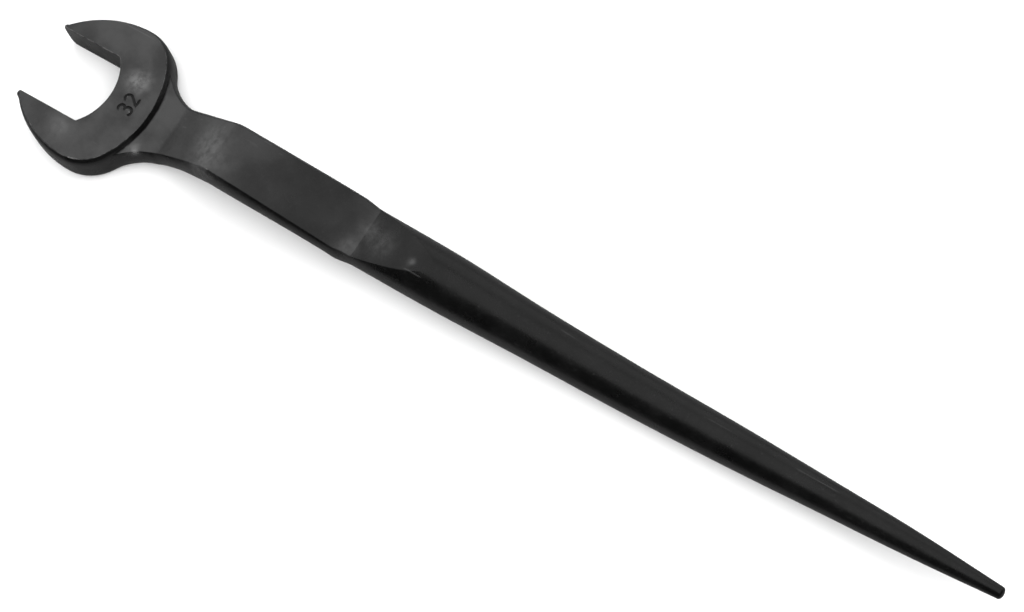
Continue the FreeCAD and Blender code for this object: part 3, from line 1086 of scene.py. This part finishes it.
@dataclass(frozen=True)
class BlackOxide:
    """Black oxide on forged steel: ground flats are greyer, with painted light and shade graded
    along them, pale patches partly painted highlight, edges rubbed, scratches faint.
    """

    oxide: tuple[float, float, float, float] = (0.0012, 0.0012, 0.0012, 1.0)
    oxide_pale: tuple[float, float, float, float] = (0.0026, 0.0026, 0.0026, 1.0)
    flat: tuple[float, float, float, float] = (0.013, 0.013, 0.013, 1.0)
    flat_pale: tuple[float, float, float, float] = (0.030, 0.030, 0.030, 1.0)
    # Colour of the pale patches: thinned oxide and painted highlight.
    thin_oxide_and_highlight: tuple[float, float, float, float] = (0.12, 0.12, 0.12, 1.0)
    rubbed: tuple[float, float, float, float] = (0.30, 0.30, 0.30, 1.0)
    gloss_low: float = 0.26
    gloss_high: float = 0.38

    def material(self) -> bpy.types.Material:
        """Build the finish's node tree.

        Returns:
            The material.
        """
        n = Nodes("black_oxide_steel")
        # Weight of the ground faces, which carries painted light and shade graded along the wrench.
        ground = n.attribute("ground_flat_and_painted_light")
        blotch = n.remap(n.noise(330, 5, 0.65), 0.3, 0.65, 0.25, 1)
        # Pale patches, thinned oxide and painted highlight, mottled by noise.
        thin = n.math("MULTIPLY", n.attribute("thin_oxide_and_highlight"), blotch)
        worn = n.attribute("edge_wear")
        clouds = n.remap(n.noise(55, 5, 0.6), 0.35, 0.68, 0, 1)
        specks = n.noise(900, 4, 0.65)
        grind = n.noise(260, 3, 0.6, stretch_by=(0.06, 1.0, 1.0), turned=(0, 0, 6))
        cross = n.noise(300, 3, 0.6, stretch_by=(1.0, 0.08, 1.0), turned=(0, 0, -12))

        forged = n.mix(clouds, self.oxide, self.oxide_pale)
        faced = n.mix(clouds, self.flat, self.flat_pale)
        colour = n.mix(ground, forged, faced)
        colour = n.mix(n.remap(specks, 0.56, 0.75, 0, 0.2), colour, self.flat_pale)
        colour = n.mix(thin, colour, self.thin_oxide_and_highlight)
        rub_noise = n.remap(n.noise(420, 4, 0.6), 0.40, 0.62, 0.12, 1)
        rub = n.math("MULTIPLY", n.remap(worn, 0.4, 1.0, 0, 0.5), rub_noise)
        hairs = n.noise(700, 1, 0.4, stretch_by=(0.02, 1.0, 1.0), turned=(0, 0, 28))
        hair_zone = n.remap(n.noise(38, 2, 0.5), 0.56, 0.66, 0, 1)
        hair = n.math("MULTIPLY", n.remap(hairs, 0.70, 0.75, 0, 0.06), hair_zone)
        bare = n.math("MAXIMUM", rub, hair)
        in_mark = n.attribute("in_mark")
        colour = n.mix(in_mark, colour, self.oxide)
        bare = n.math("MULTIPLY", bare, n.math("SUBTRACT", 1.0, in_mark))
        n.feed(n.mix(bare, colour, self.rubbed), n.shader.inputs["Base Color"])
        n.feed(n.math("MULTIPLY", bare, 0.8), n.shader.inputs["Metallic"])

        rough = n.remap(n.noise(140, 4, 0.6), 0.3, 0.7, self.gloss_low, self.gloss_high)
        rough = n.math("ADD", rough, n.math("MULTIPLY", ground, 0.06))
        n.feed(rough, n.shader.inputs["Roughness"])
        n.shader.inputs["IOR"].default_value = 1.5

        pits = n.bump(n.noise(1700, 4, 0.65), 0.045)
        dents = n.bump(n.noise(210, 3, 0.5), 0.08, pits)
        lines = n.math("MULTIPLY", n.math("ADD", grind, cross), ground)
        n.feed(n.bump(lines, 0.02, dents), n.shader.inputs["Normal"])
        return n.material


@dataclass(frozen=True)
class TableTop:
    """Plain matt table top."""

    name: str
    shade: float

    def material(self) -> bpy.types.Material:
        """Matt grey or white with the faintest unevenness."""
        n = Nodes(self.name)
        drift = n.remap(n.noise(3, 2, 0.5), 0.3, 0.7, 0, 1)
        pale = (self.shade, self.shade, self.shade, 1.0)
        paler = (self.shade * 1.02, self.shade * 1.02, self.shade * 1.02, 1.0)
        n.feed(n.mix(drift, pale, paler), n.shader.inputs["Base Color"])
        n.shader.inputs["Roughness"].default_value = 0.8
        return n.material


# ---------------------------------------------------------------- studio


@dataclass(frozen=True)
class Lamp:
    """A soft box: where it hangs, what it points at, its size and power."""

    name: str
    at: tuple[float, float, float]
    towards: tuple[float, float, float]
    size: tuple[float, float]
    power: float
    in_reflections: bool = True
    on_surfaces: bool = True

    def hang(self) -> bpy.types.Object:
        """Put the lamp in the scene."""
        data = bpy.data.lights.new(self.name, "AREA")
        data.shape = "RECTANGLE"
        data.size, data.size_y = self.size
        data.energy = self.power
        lamp = bpy.data.objects.new(self.name, data)
        lamp.location = self.at
        aim = Vector(self.towards) - Vector(self.at)
        lamp.rotation_euler = aim.to_track_quat("-Z", "Y").to_euler()
        lamp.visible_glossy = self.in_reflections
        lamp.visible_diffuse = self.on_surfaces
        lamp.visible_camera = False
        bpy.context.scene.collection.objects.link(lamp)
        return lamp


@dataclass
class Studio:
    """Pale table, soft lamps and the camera."""

    camera_at: tuple[float, float, float] = (0.5641, -0.2609, 1.0793)
    looking: tuple[float, float, float] = (-0.3093, 0.2303, -0.9227)
    up: tuple[float, float, float] = (-0.4613, 0.8121, 0.3573)
    lens: float = 105.5
    surround: float = 0.02
    lamps: tuple[Lamp, ...] = field(
        default_factory=lambda: (
            Lamp("table_light", (0.2, 0.4, 1.8), (0.2, 0.1, 0.0), (3.6, 3.2), 102,
                 in_reflections=False),
            Lamp("front_fill", (0.3, -2.1, 1.0), (0.2, 0.0, 0.0), (3.4, 1.6), 62,
                 in_reflections=False),
            Lamp("overhead_box", (-0.4, 0.25, 2.2), (-0.4, 0.25, 0.0), (3.8, 2.9), 22.5,
                 on_surfaces=False),
            Lamp("left_box", (-2.3, 0.3, 0.85), (0.1, 0.1, 0.0), (2.6, 1.8), 14,
                 on_surfaces=False),
            Lamp("back_box", (0.0, 2.0, 1.0), (0.1, 0.0, 0.1), (3.6, 1.8), 13,
                 on_surfaces=False),
        )
    )

    def build(self) -> list[bpy.types.Object]:
        """Lay the table, hang the lamps, set the surround and place the camera.

        The table that reflections meet is darker than the one that is seen, and ends just beyond
        the wrench's near side, so that the steel stays black.

        Returns:
            The stage objects.
        """
        table = self.table(TableTop("table_top", 0.87), gap=0.05)
        table.visible_glossy = False
        dim = self.table(TableTop("table_in_reflections", 0.18), gap=0.02, near=-0.062)
        dim.visible_camera = False
        dim.visible_diffuse = False
        dim.visible_shadow = False
        for lamp in self.lamps:
            lamp.hang()
        self.darken_surround()
        self.place_camera()
        return [table, dim]

    @staticmethod
    def table(
        top: TableTop, gap: float, near: float = -4.0, reach: float = 4.0
    ) -> bpy.types.Object:
        """Flat sheet just under the wrench.

        Args:
            top: its name and finish.
            gap: how far it lies under the wrench, in millimetres.
            near: where its near edge is along Y, in metres.
            reach: how far it goes the other three ways, in metres.

        Returns:
            The sheet.
        """
        along = np.linspace(-reach, reach, 9)
        x, y = np.meshgrid(along, np.linspace(near, reach, 9), indexing="ij")
        points = np.stack([x, y, np.full_like(x, -gap * MM)], axis=-1).reshape(-1, 3)
        index = np.arange(x.size).reshape(x.shape)
        quads = np.stack(
            [index[:-1, :-1], index[1:, :-1], index[1:, 1:], index[:-1, 1:]], axis=-1
        ).reshape(-1, 4)
        mesh = bpy.data.meshes.new(top.name)
        mesh.from_pydata(points.tolist(), [], quads.tolist())
        mesh.materials.append(top.material())
        sheet = bpy.data.objects.new(top.name, mesh)
        bpy.context.scene.collection.objects.link(sheet)
        return sheet

    def darken_surround(self) -> None:
        """Grey all round, far darker than the lamps."""
        world = bpy.data.worlds.new("studio")
        world.use_nodes = True
        shade = world.node_tree.nodes["Background"]
        shade.inputs["Color"].default_value = (self.surround, self.surround, self.surround, 1.0)
        bpy.context.scene.world = world
        bpy.context.scene.view_settings.view_transform = "Standard"

    def place_camera(self) -> None:
        """Look down on the wrench from beyond its near side."""
        forward = Vector(self.looking).normalized()
        right = forward.cross(Vector(self.up)).normalized()
        up = right.cross(forward)
        turn = Matrix((right, up, -forward)).transposed().to_4x4()
        data = bpy.data.cameras.new("camera")
        data.lens = self.lens
        camera = bpy.data.objects.new("camera", data)
        camera.matrix_world = Matrix.Translation(self.camera_at) @ turn
        bpy.context.scene.collection.objects.link(camera)
        bpy.context.scene.camera = camera


def main() -> None:
    """Build the wrench in the frame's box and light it."""
    logging.basicConfig(level=logging.INFO, format="%(name)s: %(message)s")
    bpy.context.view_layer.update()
    low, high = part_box(NODE)
    wrench = Forging(tip_at=high.x / MM - 0.1, crown=high.z / MM - 0.1).build(BlackOxide())
    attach(wrench, "root")
    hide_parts(NODE)
    log.info("wrench: %d faces", len(wrench.data.polygons))
    for stage_piece in Studio().build():
        log.info("stage: %s", stage_piece.name)


if __name__ == "__main__":
    main()
